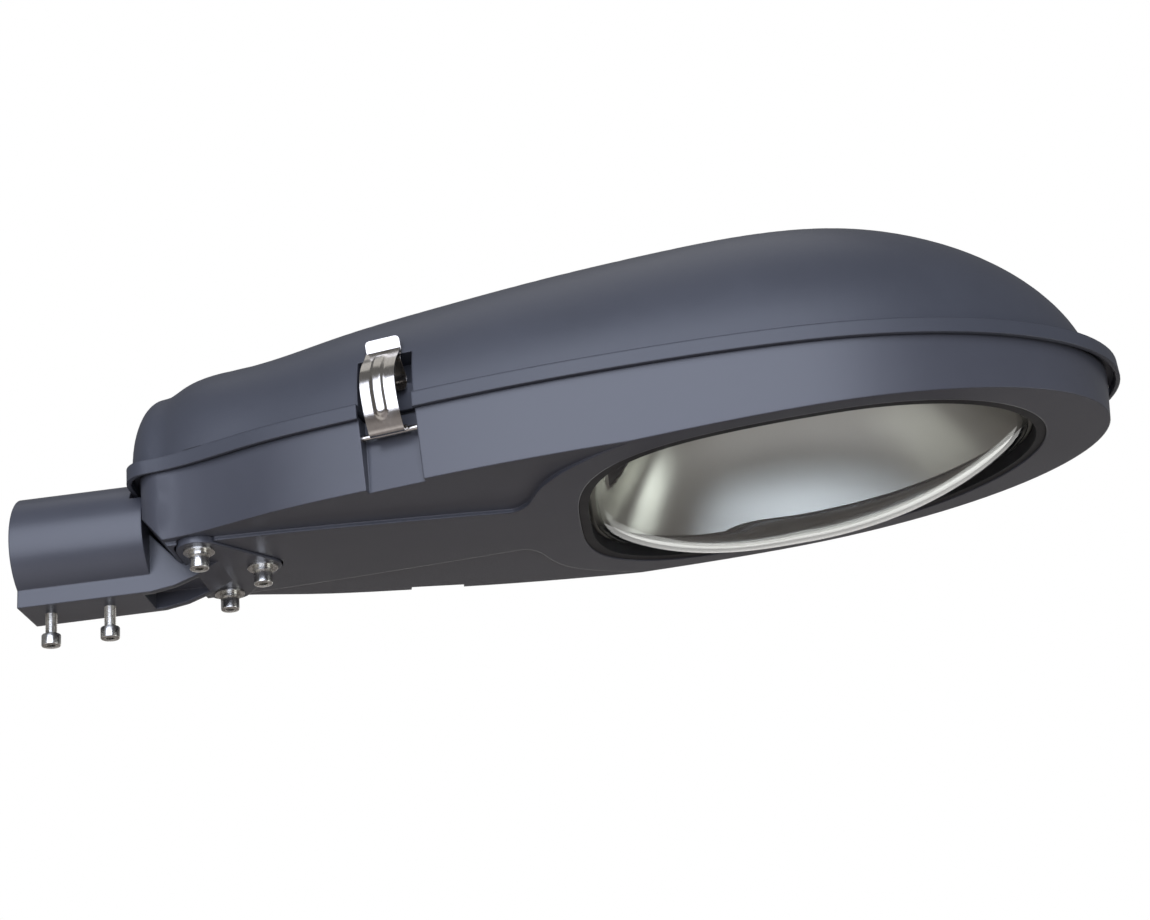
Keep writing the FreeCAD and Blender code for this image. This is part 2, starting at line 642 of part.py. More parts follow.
def make_lampholder():
    body = rod(HOLDER_R, V(HOLDER_REAR, 0, LAMP_Z), ALONG, HOLDER_LONG)
    skirt = rod(HOLDER_R - 4.0, V(HOLDER_REAR - 8.0, 0, LAMP_Z), ALONG, 9.0)
    socket = rod(20.0, V(HOLDER_REAR + 14.0, 0, LAMP_Z), ALONG, HOLDER_LONG)
    return body.fuse(skirt).cut(socket).removeSplitter()


def make_holder_bracket():
    low = FLOOR_Z + 7.5
    back = HOLDER_REAR - 8.0
    upright = box(back - 1.5, back, -30.0, 30.0, low, LAMP_Z + 26.0)
    foot = box(back - 1.5, back + 32.0, -30.0, 30.0, low, low + 1.5)
    sheet = upright.fuse(foot).cut([rod(2.3, V(x, y, low - 5.0), UP, 10.0) for x, y in bracket_posts()])
    return sheet.removeSplitter()


def make_bracket_screws():
    return group([pan_screw(x, y, FLOOR_Z + 9.0, 2.0, 8.5) for x, y in bracket_posts()])


def make_gear_tray():
    low = TRAY_TOP - TRAY_SHEET
    loop = [V(TRAY_REAR, -50, low), V(TRAY_FRONT, -88, low), V(TRAY_FRONT, 88, low), V(TRAY_REAR, 50, low)]
    plate = Part.Face(Part.makePolygon(loop + [loop[0]])).extrude(V(0, 0, TRAY_SHEET))
    return plate.cut([rod(2.8, V(x, y, low - 1.0), UP, 5.0) for x, y in tray_posts()] + gear_holes())


def make_tray_screws():
    return group([pan_screw(x, y, TRAY_TOP, 2.5, 10.0) for x, y in tray_posts()])


GEAR_SCREW_R = 1.6
FOOT = 2.5
CLIP_SHEET = 1.2
BLOCK_TOP = 13.0


def gear_screw_places():
    """Screws that hold the gear to the tray, as (x, y, height of the seat)."""
    foot = TRAY_TOP + FOOT
    clip = TRAY_TOP + CLIP_SHEET
    places = [(145.0, 14.0, foot), (145.0, 44.0, foot), (245.0, 14.0, foot), (245.0, 44.0, foot)]
    places += [(254.0, -43.0, foot), (306.0, -43.0, foot), (197.0, -56.7, clip), (197.0, -11.3, clip)]
    return places + [(281.0, 9.5, BLOCK_TOP), (281.0, 62.5, BLOCK_TOP)]


def gear_holes():
    radius = GEAR_SCREW_R + HOLE_PLAY
    return [rod(radius, V(x, y, TRAY_TOP - 10.0), UP, 50.0) for x, y, seat in gear_screw_places()]


def make_gear_screws():
    below = TRAY_TOP - TRAY_SHEET - 2.5
    return group([pan_screw(x, y, seat, GEAR_SCREW_R, seat - below) for x, y, seat in gear_screw_places()])


BALLAST = (150.0, 240.0, 0.0, 58.0)
COIL = (138.0, 252.0, 13.0, 45.0)
COIL_Z = (2.0, 30.0)


def make_ballast_core():
    core = box(BALLAST[0], BALLAST[1], BALLAST[2], BALLAST[3], TRAY_TOP, 40.0)
    foot = box(BALLAST[0] - 10.0, BALLAST[1] + 10.0, BALLAST[2] + 8.0, BALLAST[3] - 8.0, TRAY_TOP, TRAY_TOP + FOOT)
    window = box(COIL[0] - 5.0, COIL[1] + 5.0, COIL[2] - 0.1, COIL[3] + 0.1, COIL_Z[0] - 0.1, COIL_Z[1] + 0.1)
    return core.fuse(foot).cut([window] + gear_holes()).removeSplitter()


def make_ballast_coil():
    return box(COIL[0], COIL[1], COIL[2], COIL[3], COIL_Z[0], COIL_Z[1])


def make_capacitor():
    can = rod(17.0, V(150.0, -34.0, TRAY_TOP + 17.0), ALONG, 92.0)
    crimp = rod(15.5, V(146.0, -34.0, TRAY_TOP + 17.0), ALONG, 4.0)
    return can.fuse(crimp).removeSplitter()


def make_capacitor_clip():
    middle = TRAY_TOP + 17.0
    hoop = ring(18.3, 17.1, V(190.0, -34.0, middle), ALONG, 14.0)
    legs = box(190.0, 204.0, -34.0 - 18.3, -34.0 + 18.3, TRAY_TOP, middle)
    legs = legs.cut(box(180.0, 220.0, -34.0 - 17.1, -34.0 + 17.1, TRAY_TOP - 5.0, middle + 1.0))
    top = hoop.common(box(180.0, 220.0, -80.0, 20.0, middle, middle + 30.0))
    feet = [box(190.0, 204.0, -61.0, -34.0 - 17.1, TRAY_TOP, TRAY_TOP + CLIP_SHEET)]
    feet.append(box(190.0, 204.0, -34.0 + 17.1, -7.0, TRAY_TOP, TRAY_TOP + CLIP_SHEET))
    return top.fuse([legs] + feet).cut(gear_holes()).removeSplitter()


def make_ignitor():
    body = box(258.0, 302.0, -60.0, -26.0, TRAY_TOP, 20.0)
    feet = box(250.0, 310.0, -50.0, -36.0, TRAY_TOP, TRAY_TOP + FOOT)
    return body.fuse(feet).cut(gear_holes()).removeSplitter()


def make_terminal_block():
    body = box(270.0, 292.0, 6.0, 66.0, TRAY_TOP, BLOCK_TOP)
    ways = [rod(3.0, V(260.0, 16.0 + 10.0 * i, 2.0), ALONG, 40.0) for i in range(5)]
    return body.cut(ways + gear_holes())


def make_cable_grommet():
    """Bush in the rear wall, with its flange between the wall and the adaptor."""
    bush = ring(8.9, 6.0, V(HOUSING_REAR, 0, CABLE_Z), ALONG, 6.5)
    flange = ring(12.0, 6.0, V(HOUSING_REAR - 1.2, 0, CABLE_Z), ALONG, 1.2)
    return bush.fuse(flange).removeSplitter()


NODES = {
    "spigot_adaptor": make_adaptor,
    "flange_bolts": make_flange_bolts,
    "flange_washers": make_flange_washers,
    "spring_washers": make_spring_washers,
    "clamp_screws": make_clamp_screws,
    "lower_housing": make_housing,
    "cover_gasket": make_cover_gasket,
    "upper_cover": make_cover,
    "cover_hinge_pin": make_hinge_pin,
    "left_latch_strap": lambda: make_latch_strap(1),
    "left_latch_leaf": lambda: make_latch_leaf(1),
    "right_latch_strap": lambda: make_latch_strap(-1),
    "right_latch_leaf": lambda: make_latch_leaf(-1),
    "latch_pins": make_latch_pins,
    "lens_gasket": make_lens_gasket,
    "bowl_glass": make_glass,
    "reflector": make_reflector,
    "retaining_clips": make_clips,
    "clip_screws": make_clip_screws,
    "lampholder": make_lampholder,
    "lampholder_bracket": make_holder_bracket,
    "bracket_screws": make_bracket_screws,
    "gear_tray": make_gear_tray,
    "tray_screws": make_tray_screws,
    "ballast_core": make_ballast_core,
    "ballast_coil": make_ballast_coil,
    "capacitor": make_capacitor,
    "capacitor_clip": make_capacitor_clip,
    "ignitor": make_ignitor,
    "terminal_block": make_terminal_block,
    "gear_screws": make_gear_screws,
    "cable_grommet": make_cable_grommet,
}

for name, make in NODES.items():
    shape = make()
    print(name, shape.ShapeType, len(shape.Solids), shape.isValid(), round(shape.Volume / 1000.0, 1), "cm3")
    shape.exportStep("parts/" + name + ".step")
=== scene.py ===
"""Sodium street light head: finishes, screw threads, latches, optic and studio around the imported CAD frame.

Lengths of pieces are in millimetres of the shared frame until MM turns them into metres.
"""
import bmesh
import bpy
import json
import math
from mathutils import Matrix, Vector


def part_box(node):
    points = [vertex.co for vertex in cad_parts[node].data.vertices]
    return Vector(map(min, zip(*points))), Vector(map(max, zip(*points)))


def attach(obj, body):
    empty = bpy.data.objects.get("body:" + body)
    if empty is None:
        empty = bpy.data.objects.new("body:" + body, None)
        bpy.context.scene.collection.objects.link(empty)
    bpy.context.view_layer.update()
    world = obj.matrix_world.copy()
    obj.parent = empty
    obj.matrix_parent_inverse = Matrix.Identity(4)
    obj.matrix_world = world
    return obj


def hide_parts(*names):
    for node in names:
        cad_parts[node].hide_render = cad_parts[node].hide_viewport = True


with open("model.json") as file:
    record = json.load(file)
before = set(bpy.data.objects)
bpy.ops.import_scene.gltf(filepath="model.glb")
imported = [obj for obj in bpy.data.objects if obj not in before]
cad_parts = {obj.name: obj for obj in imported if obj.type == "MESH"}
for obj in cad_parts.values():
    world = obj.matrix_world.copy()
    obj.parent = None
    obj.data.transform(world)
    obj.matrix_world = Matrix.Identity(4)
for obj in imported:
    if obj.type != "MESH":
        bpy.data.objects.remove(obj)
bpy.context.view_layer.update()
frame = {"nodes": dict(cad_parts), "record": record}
nodes = frame["nodes"]

MM = 0.001


# Shader helpers

def new_material(name):
    """A material with a principled shader, and its node tree."""
    material = bpy.data.materials.new(name)
    material.use_nodes = True
    tree = material.node_tree
    shader = tree.nodes["Principled BSDF"]
    return material, tree, shader


def join(tree, output, socket):
    tree.links.new(output, socket)


def place_texture(tree, scale):
    """Object coordinates stretched by a scale on each axis."""
    coords = tree.nodes.new("ShaderNodeTexCoord")
    mapping = tree.nodes.new("ShaderNodeMapping")
    mapping.inputs["Scale"].default_value = scale
    join(tree, coords.outputs["Object"], mapping.inputs["Vector"])
    return mapping.outputs["Vector"]


def noise(tree, scale, detail=2.0, rough=0.5, stretch=(1.0, 1.0, 1.0)):
    """Value of a noise texture with a number of lumps a metre."""
    texture = tree.nodes.new("ShaderNodeTexNoise")
    texture.inputs["Scale"].default_value = scale
    texture.inputs["Detail"].default_value = detail
    texture.inputs["Roughness"].default_value = rough
    join(tree, place_texture(tree, stretch), texture.inputs["Vector"])
    return texture.outputs["Fac"]


def ramp(tree, value, stops):
    """Colour ramp with (place, colour) stops."""
    node = tree.nodes.new("ShaderNodeValToRGB")
    while len(node.color_ramp.elements) < len(stops):
        node.color_ramp.elements.new(0.5)
    for element, (place, colour) in zip(node.color_ramp.elements, stops):
        element.position = place
        element.color = (*colour, 1.0)
    join(tree, value, node.inputs["Fac"])
    return node.outputs["Color"]


def spread(tree, value, low, high):
    """Noise value mapped to a range of numbers."""
    node = tree.nodes.new("ShaderNodeMapRange")
    node.inputs["From Min"].default_value = 0.3
    node.inputs["From Max"].default_value = 0.7
    node.inputs["To Min"].default_value = low
    node.inputs["To Max"].default_value = high
    join(tree, value, node.inputs["Value"])
    return node.outputs["Result"]


def bump(tree, value, strength, distance, under=None):
    """Normal that a height value bends, over another normal where there is one."""
    node = tree.nodes.new("ShaderNodeBump")
    node.inputs["Strength"].default_value = strength
    node.inputs["Distance"].default_value = distance
    join(tree, value, node.inputs["Height"])
    if under is not None:
        join(tree, under, node.inputs["Normal"])
    return node.outputs["Normal"]


def soft_edge(tree, radius):
    """Normal of an edge rounded to a radius."""
    node = tree.nodes.new("ShaderNodeBevel")
    node.samples = 6
    node.inputs["Radius"].default_value = radius
    return node.outputs["Normal"]


# Finishes

def tint(colour, factor):
    return tuple(c * factor for c in colour)


def powder_coat(name, colour, grain, edge, rough):
    """Powder coat on a casting: fine orange peel, a slight unevenness below it, soft edges."""
    material, tree, shader = new_material(name)
    mottle = noise(tree, 9.0, 4.0, 0.6)
    fine = noise(tree, 1500.0, 2.0, 0.55)
    uneven = noise(tree, 26.0, 2.0, 0.4)
    stops = ((0.35, tint(colour, 0.94)), (0.65, tint(colour, 1.05)))
    join(tree, ramp(tree, mottle, stops), shader.inputs["Base Color"])
    join(tree, spread(tree, mottle, rough - 0.03, rough + 0.04), shader.inputs["Roughness"])
    normal = bump(tree, uneven, 0.25, 0.0006, soft_edge(tree, edge))
    normal = bump(tree, fine, grain, 0.00025, normal)
    join(tree, normal, shader.inputs["Normal"])
    return material


def plated_steel(name, colour, rough, edge):
    """Bright zinc plate with a faint cloudy passivation."""
    material, tree, shader = new_material(name)
    cloud = noise(tree, 140.0, 3.0, 0.6)
    fine = noise(tree, 1900.0, 2.0, 0.5)
    stops = ((0.3, tint(colour, 0.8)), (0.7, tint(colour, 1.05)))
    join(tree, ramp(tree, cloud, stops), shader.inputs["Base Color"])
    shader.inputs["Metallic"].default_value = 1.0
    join(tree, spread(tree, cloud, rough - 0.05, rough + 0.08), shader.inputs["Roughness"])
    join(tree, bump(tree, fine, 0.12, 0.0001, soft_edge(tree, edge)), shader.inputs["Normal"])
    return material


def brushed(name, colour, rough, stretch, edge, depth):
    """Metal with fine lines along the axis that the stretch leaves short."""
    material, tree, shader = new_material(name)
    lines = noise(tree, 1.0, 3.0, 0.6, stretch)
    cloud = noise(tree, 60.0, 3.0, 0.5)
    stops = ((0.3, tint(colour, 0.9)), (0.7, tint(colour, 1.04)))
    join(tree, ramp(tree, lines, stops), shader.inputs["Base Color"])
    shader.inputs["Metallic"].default_value = 1.0
    join(tree, spread(tree, cloud, rough - 0.04, rough + 0.06), shader.inputs["Roughness"])
    join(tree, bump(tree, lines, depth, 0.0001, soft_edge(tree, edge)), shader.inputs["Normal"])
    return material


def rubber(name, colour):
    """Matt silicone with a trace of dust."""
    material, tree, shader = new_material(name)
    fine = noise(tree, 900.0, 3.0, 0.6)
    dust = noise(tree, 30.0, 4.0, 0.6)
    stops = ((0.4, colour), (0.75, tint(colour, 1.7)))
    join(tree, ramp(tree, dust, stops), shader.inputs["Base Color"])
    join(tree, spread(tree, dust, 0.5, 0.65), shader.inputs["Roughness"])
    join(tree, bump(tree, fine, 0.15, 0.0001, soft_edge(tree, 0.0008)), shader.inputs["Normal"])
    return material


def clear_glass(name):
    """Pressed clear glass with a trace of green."""
    material, tree, shader = new_material(name)
    shader.inputs["Base Color"].default_value = (0.93, 0.955, 0.94, 1.0)
    shader.inputs["Transmission Weight"].default_value = 1.0
    shader.inputs["IOR"].default_value = 1.47
    shader.inputs["Roughness"].default_value = 0.0
    return material


def satin_reflector(name, colour):
    """Anodised spun aluminium that blurs what it mirrors, with faint draw lines."""
    material, tree, shader = new_material(name)
    lines = noise(tree, 1.0, 3.0, 0.5, (35.0, 420.0, 420.0))
    shader.inputs["Base Color"].default_value = (*colour, 1.0)
    shader.inputs["Metallic"].default_value = 1.0
    shader.inputs["Roughness"].default_value = 0.29
    join(tree, bump(tree, lines, 0.1, 0.0002), shader.inputs["Normal"])
    return material


def stony(name, colour, rough):
    """Porcelain or moulded gear plastic: fine grain and a slight stain."""
    material, tree, shader = new_material(name)
    stain = noise(tree, 35.0, 4.0, 0.6)
    fine = noise(tree, 1100.0, 2.0, 0.5)
    stops = ((0.35, tint(colour, 0.9)), (0.65, colour))
    join(tree, ramp(tree, stain, stops), shader.inputs["Base Color"])
    join(tree, spread(tree, stain, rough, rough + 0.12), shader.inputs["Roughness"])
    join(tree, bump(tree, fine, 0.1, 0.0002, soft_edge(tree, 0.0008)), shader.inputs["Normal"])
    return material


STRIPES = 3.1831  # stripes a metre that a wave texture of scale 1 makes


def striped(name, colours, axis, per_metre, metallic, rough):
    """Stacked laminations or wound wire: fine stripes across one axis."""
    material, tree, shader = new_material(name)
    wave = tree.nodes.new("ShaderNodeTexWave")
    wave.bands_direction = axis
    wave.inputs["Scale"].default_value = per_metre / STRIPES
    wave.inputs["Distortion"].default_value = 0.6
    wave.inputs["Detail"].default_value = 2.0
    join(tree, place_texture(tree, (1.0, 1.0, 1.0)), wave.inputs["Vector"])
    stops = ((0.1, colours[0]), (0.8, colours[1]))
    join(tree, ramp(tree, wave.outputs["Fac"], stops), shader.inputs["Base Color"])
    shader.inputs["Metallic"].default_value = metallic
    join(tree, spread(tree, noise(tree, 80.0), rough, rough + 0.15), shader.inputs["Roughness"])
    join(tree, bump(tree, wave.outputs["Fac"], 0.5, 0.0003), shader.inputs["Normal"])
    return material


PAINT = (0.050, 0.053, 0.064)
HOUSING = (0.056, 0.058, 0.069)
ZINC = (0.72, 0.71, 0.67)
STEEL = (0.52, 0.49, 0.45)
RUBBER = (0.008, 0.008, 0.0085)
ALUMINIUM = (0.66, 0.65, 0.60)
PORCELAIN = (0.72, 0.70, 0.64)
PLASTIC = (0.55, 0.53, 0.48)
LAMINATION = ((0.02, 0.02, 0.022), (0.06, 0.06, 0.062))
WINDING = ((0.10, 0.03, 0.012), (0.32, 0.11, 0.05))

finishes = {
    "cover_paint": powder_coat("cover_paint", PAINT, 0.10, 0.0018, 0.42),
    "housing_paint": powder_coat("housing_paint", HOUSING, 0.16, 0.0014, 0.32),
    "zinc_steel": plated_steel("zinc_steel", ZINC, 0.24, 0.0004),
    "stainless": brushed("stainless", STEEL, 0.17, (900.0, 900.0, 30.0), 0.0003, 0.1),
    "black_rubber": rubber("black_rubber", RUBBER),
    "clear_glass": clear_glass("clear_glass"),
    "satin_aluminium": satin_reflector("satin_aluminium", ALUMINIUM),
    "porcelain": stony("porcelain", PORCELAIN, 0.35),
    "core_steel": striped("core_steel", LAMINATION, "X", 1200.0, 0.6, 0.4),
    "coil_copper": striped("coil_copper", WINDING, "X", 900.0, 0.7, 0.3),
    "gear_plastic": stony("gear_plastic", PLASTIC, 0.4),
}


def dress_nodes():
    """Every CAD node takes the finish of its slot in the record."""
    for part in frame["record"]["subparts"]:
        mesh = nodes[part["node"]].data
        mesh.materials.clear()
        mesh.materials.append(finishes[part["material_slot"]])


dress_nodes()


# Pieces that stand for CAD nodes

def new_mesh(name, points, faces):
    """Mesh from points in millimetres."""
    mesh = bpy.data.meshes.new(name)
    mesh.from_pydata([(MM * x, MM * y, MM * z) for x, y, z in points], [], faces)
    return mesh


def outward_shell(mesh):
    """Editable copy of a mesh with all its faces turned outwards."""
    shell = bmesh.new()
    shell.from_mesh(mesh)
    bmesh.ops.recalc_face_normals(shell, faces=shell.faces)
    return shell


def stand_in(mesh, slot, body, node, sharp):
    """A smooth piece that rides on a body in the place of a CAD node, sharp past an angle in degrees."""
    piece = bpy.data.objects.new(mesh.name, mesh)
    bpy.context.scene.collection.objects.link(piece)
    mesh.materials.append(finishes[slot])
    mesh.shade_smooth()
    mesh.set_sharp_from_angle(angle=math.radians(sharp))
    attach(piece, body)
    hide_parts(node)


def stand_in_shell(mesh, shell, slot, body, node):
    """The same, from a shell that is done with."""
    shell.to_mesh(mesh)
    shell.free()
    stand_in(mesh, slot, body, node, 40.0)


# M8 socket head screws with real threads

RING = 48
PITCH = 1.25
THREAD_DEEP = 0.66
SHANK_R = 4.0
CORE_R = 3.3
HEAD_R = 6.5
KEY = 6.0
KEY_DEEP = 4.2
CLAMP_PLACES = ((17.0, 0.0), (58.0, 0.0))
FLANGE_PLACES = ((131.5, -42.7), (131.5, 42.7), (165.0, 0.0))


def hexagon(angle, across):
    """Radius of a hexagon of a given width across flats, at an angle."""
    turn = (angle + math.pi / 6.0) % (math.pi / 3.0) - math.pi / 6.0
    return across / 2.0 / math.cos(turn)


def thread(angle, z):
    """Radius of a right hand thread at a place on the shank."""
    phase = (z / PITCH - angle / (2.0 * math.pi)) % 1.0
    return SHANK_R - THREAD_DEEP * max(0.0, min(1.0, 1.35 * abs(2.0 * phase - 1.0) - 0.1))


def screw_rings(low, head_high, top):
    """Rings of (radius at an angle, height) from the socket floor out, over the head and up the shank."""
    floor = low + KEY_DEEP
    seat = low + head_high
    key = ((1.2, floor + 0.9), (KEY, floor), (KEY, low + 0.35), (KEY + 0.5, low))
    head = ((0.9, low), (0.35, low + 0.12), (0.05, low + 0.5), (0.0, low + 0.9), (0.0, seat - 0.5), (0.3, seat))
    rings = [(lambda a, flats=flats: hexagon(a, flats), z) for flats, z in key]
    rings += [(lambda a, inset=inset: HEAD_R - inset, z) for inset, z in head]
    rings.append((lambda a: SHANK_R, seat))
    z = seat + 0.2
    while z < top:
        rings.append((lambda a, z=z: thread(a, z), z))
        z += PITCH / 8.0
    rings.append((lambda a: CORE_R, top))
    return rings


def threaded_screws(name, node, places, head_high):
    """Screws standing on their heads at (x, y) places, in the place of a CAD node."""
    low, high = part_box(node)
    rings = screw_rings(low[2] / MM, head_high, high[2] / MM)
    points = []
    faces = []
    for x, y in places:
        start = len(points)
        for radius, z in rings:
            for i in range(RING):
                a = 2.0 * math.pi * i / RING
                points.append((x + radius(a) * math.cos(a), y + radius(a) * math.sin(a), z))
        for j in range(len(rings) - 1):
            a = start + j * RING
            b = a + RING
            for i in range(RING):
                k = (i + 1) % RING
                faces.append((a + i, a + k, b + k, b + i))
        faces.append(tuple(start + i for i in reversed(range(RING))))
        faces.append(tuple(start + (len(rings) - 1) * RING + i for i in range(RING)))
    mesh = new_mesh(name, points, faces)
    mesh.validate()
    stand_in(mesh, "zinc_steel", "housing", node, 35.0)


threaded_screws("clamp_screw_threads", "clamp_screws", CLAMP_PLACES, 8.0)
threaded_screws("flange_bolt_threads", "flange_bolts", FLANGE_PLACES, 9.0)


# Latches with the full bow, embossed rib and upright tab of the photograph.
# Their paths are (v, z): v points out from the wall, square to the latch pin.

PIVOT = next(j for j in frame["record"]["behaviour"]["joints"] if j["name"] == "left_latch_pivot")
PIN_X, PIN_Y = PIVOT["pos_m"][0] / MM, PIVOT["pos_m"][1] / MM
ALONG_X, ALONG_Y = -PIVOT["axis"][0], -PIVOT["axis"][1]
PIN_V = -10.5
LATCH_HALF = 12.0
STRAP_SHEET = 1.2
LEAF_SHEET = 0.8
TAB_CORNER = 3.0
ACROSS = 48
STEPS = 7
CURL = ((-13.3, 10.6), (-12.6, 13.0), (-10.5, 13.9), (-8.4, 13.0), (-7.5, 11.0), (-6.9, 9.4))
BOW = ((-5.2, 8.5), (-2.9, 9.3), (-0.6, 12.4), (3.6, 19.7), (7.2, 29.5), (8.7, 38.0), (7.4, 47.0),
       (2.6, 56.0), (-3.6, 63.5), (-7.6, 69.2))
TAB = ((-6.0, 78.2), (-7.2, 74.8), (-8.2, 71.6), (-9.0, 69.2), (-8.6, 66.4), (-6.6, 63.4), (-6.8, 60.2))
HOOK = ((-11.5, 55.5), (-15.2, 52.0), (-16.1, 49.0), (-15.0, 45.5), (-12.6, 42.0), (-10.6, 40.2))
RIB_HIGH = 1.7
RIB_HALF = 5.0
RIB_SLOPE = 2.6
RIB_FOOT = 21.5
RIB_TOP = 66.0


def smooth_path(points):
    """Catmull-Rom curve through points, with a unit normal at each place."""
    ends = [points[0], *points, points[-1]]
    curve = []
    for i in range(1, len(ends) - 2):
        a, b, c, d = (Vector(q) for q in ends[i - 1:i + 3])
        for k in range(STEPS):
            t = k / STEPS
            curve.append(0.5 * (2.0 * b + (c - a) * t + (2.0 * a - 5.0 * b + 4.0 * c - d) * t * t
                                + (3.0 * b - a - 3.0 * c + d) * t ** 3))
    curve.append(Vector(points[-1]))
    normals = []
    for i in range(len(curve)):
        run = curve[min(i + 1, len(curve) - 1)] - curve[max(i - 1, 0)]
        normals.append(Vector((run.y, -run.x)).normalized())
    return curve, normals


def fade(value, low, high):
    """Smooth step from 0 at low to 1 at high."""
    t = max(0.0, min(1.0, (value - low) / (high - low)))
    return t * t * (3.0 - 2.0 * t)


def rib_height(w, v, z):
    """Height of the embossed rib at a place across, out from and up the strap; its foot is round."""
    reach = math.hypot(w, max(0.0, RIB_FOOT - z))
    return RIB_HIGH * fade(RIB_HALF - reach, 0.0, RIB_SLOPE) * fade(RIB_TOP - z, 0.0, 5.0) * fade(v, -4.5, -2.0)


def half_width(run, corner):
    """Half width of a strip at a distance from its first end, which has round corners."""
    if run >= corner:
        return LATCH_HALF
    return LATCH_HALF - (corner - math.sqrt(max(0.0, corner ** 2 - (corner - run) ** 2)))


def strip_faces(rows):
    """Faces of a closed strip: an outer and an inner grid, joined round their edge."""
    row = ACROSS + 1
    size = rows * row
    faces = []
    for i in range(rows - 1):
        for j in range(ACROSS):
            a = i * row + j
            faces.append((a, a + 1, a + row + 1, a + row))
            faces.append((size + a, size + a + row, size + a + row + 1, size + a + 1))
        for a in (i * row, i * row + ACROSS):
            faces.append((a, a + row, size + a + row, size + a))
    for j in range(ACROSS):
        for a in (j, (rows - 1) * row + j):
            faces.append((a, a + 1, size + a + 1, size + a))
    return faces


def latch_strip(name, body, node, side, path, sheet, rib, corner):
    """A bent strip of sheet steel across the latch, in the place of a CAD node."""
    curve, normals = smooth_path(path)
    points = []
    for face in (1.0, -1.0):
        for spot, normal in zip(curve, normals):
            half = half_width((spot - curve[0]).length, corner)
            for j in range(ACROSS + 1):
                w = half * (2.0 * j / ACROSS - 1.0)
                lift = rib_height(w, spot.x, spot.y) if rib else 0.0
                v, z = spot + normal * (face * sheet / 2.0 + lift)
                out = v - PIN_V
                points.append((PIN_X + w * ALONG_X - out * ALONG_Y, side * (PIN_Y + w * ALONG_Y + out * ALONG_X), z))
    mesh = new_mesh(name, points, strip_faces(len(curve)))
    mesh.validate()
    stand_in_shell(mesh, outward_shell(mesh), "stainless", body, node)


for hand, side in (("left", 1.0), ("right", -1.0)):
    body = hand + "_latch"
    latch_strip(hand + "_bowed_strap", body, hand + "_latch_strap", side, CURL + BOW, STRAP_SHEET, True, 0.0)
    latch_strip(hand + "_tab_leaf", body, hand + "_latch_leaf", side, TAB + HOOK, LEAF_SHEET, False, TAB_CORNER)


# Bowl glass and reflector with the softer curves of the photograph.
# Both are dishes over the egg shaped lens opening, in the optic's own tilted frame.

OPENING_X = 545.0
OPENING_FRONT = 168.0
OPENING_REAR = 158.0
OPENING_HALF = 114.0
BLUNT = 2.0 / 3.2
OPTIC_X = 372.0
KEEL_Z = -28.4
TILT = math.radians(3.2)
AROUND = 160
LAMP_Z = 30.0
LAMP_HOLE_R = 30.0
LAMP_WALL_X = 460.0


def egg(grow):
    """Outline of the lens opening, grown, as offsets from its middle."""
    points = []
    for k in range(AROUND):
        a = 2.0 * math.pi * k / AROUND
        c, s = math.cos(a), math.sin(a)
        long = OPENING_FRONT + grow
        wide = OPENING_HALF + grow
        if c < 0.0:
            long = OPENING_REAR + grow
            c = -abs(c) ** BLUNT
            s = math.copysign(abs(s) ** BLUNT, s)
        points.append((long * c, wide * s))
    return points


def optic_place(x, y, z):
    """A place in the tilted optic, given from the middle of the opening, in the shared frame."""
    run = OPENING_X + x - OPTIC_X
    far = OPTIC_X + run * math.cos(TILT) - z * math.sin(TILT)
    high = KEEL_Z + run * math.sin(TILT) + z * math.cos(TILT)
    return far, y, high


def dish_rings(grow, rim_z, depth, power, steps):
    """Rings (grow, scale, height) of a dish from its middle to its rim."""
    rings = []
    for k in range(1, steps + 1):
        s = math.sin(0.5 * math.pi * k / steps)
        rings.append((grow, s, rim_z + depth * (1.0 - s ** power)))
    return rings


def dish_shell(name, first, second, flange, power, steps):
    """Closed shell between two dishes, each (grow, rim height, depth), with a flat flange round them."""
    rings = dish_rings(*first, power, steps)
    rings += [(flange, 1.0, first[1]), (flange, 1.0, second[1])]
    rings += reversed(dish_rings(*second, power, steps))
    points = [optic_place(0.0, 0.0, first[1] + first[2])]
    for grow, scale, z in rings:
        points += [optic_place(x * scale, y * scale, z) for x, y in egg(grow)]
    points.append(optic_place(0.0, 0.0, second[1] + second[2]))
    faces = []
    last = 1 + (len(rings) - 1) * AROUND
    for i in range(AROUND):
        k = (i + 1) % AROUND
        faces.append((0, 1 + i, 1 + k))
        faces.append((len(points) - 1, last + k, last + i))
        for a in range(1, last, AROUND):
            faces.append((a + i, a + AROUND + i, a + AROUND + k, a + k))
    mesh = new_mesh(name, points, faces)
    return mesh, outward_shell(mesh)


def press_lamp_hole(shell):
    """Opens the round lamp hole in the rear wall of the reflector, along X."""
    radius = MM * LAMP_HOLE_R
    middle = MM * LAMP_Z
    inside = [v for v in shell.verts if v.co.x < MM * LAMP_WALL_X and math.hypot(v.co.y, v.co.z - middle) < radius]
    within = set(inside)
    gone = [f for f in shell.faces if all(v in within for v in f.verts)]
    bmesh.ops.delete(shell, geom=gone, context="FACES")
    for v in inside:
        if v.is_valid:
            out = math.hypot(v.co.y, v.co.z - middle)
            v.co.y *= radius / out
            v.co.z = middle + (v.co.z - middle) * radius / out
    bmesh.ops.delete(shell, geom=[v for v in shell.verts if not v.link_faces], context="VERTS")


def add_glass():
    """Bowl glass: its outer and inner dish, with the flange that lies on the gasket."""
    outer = (-7.6, 9.5, -43.0)
    inner = (-12.0, 14.0, -43.3)
    mesh, shell = dish_shell("soft_bowl_glass", outer, inner, 4.0, 2.2, 26)
    stand_in_shell(mesh, shell, "clear_glass", "housing", "bowl_glass")


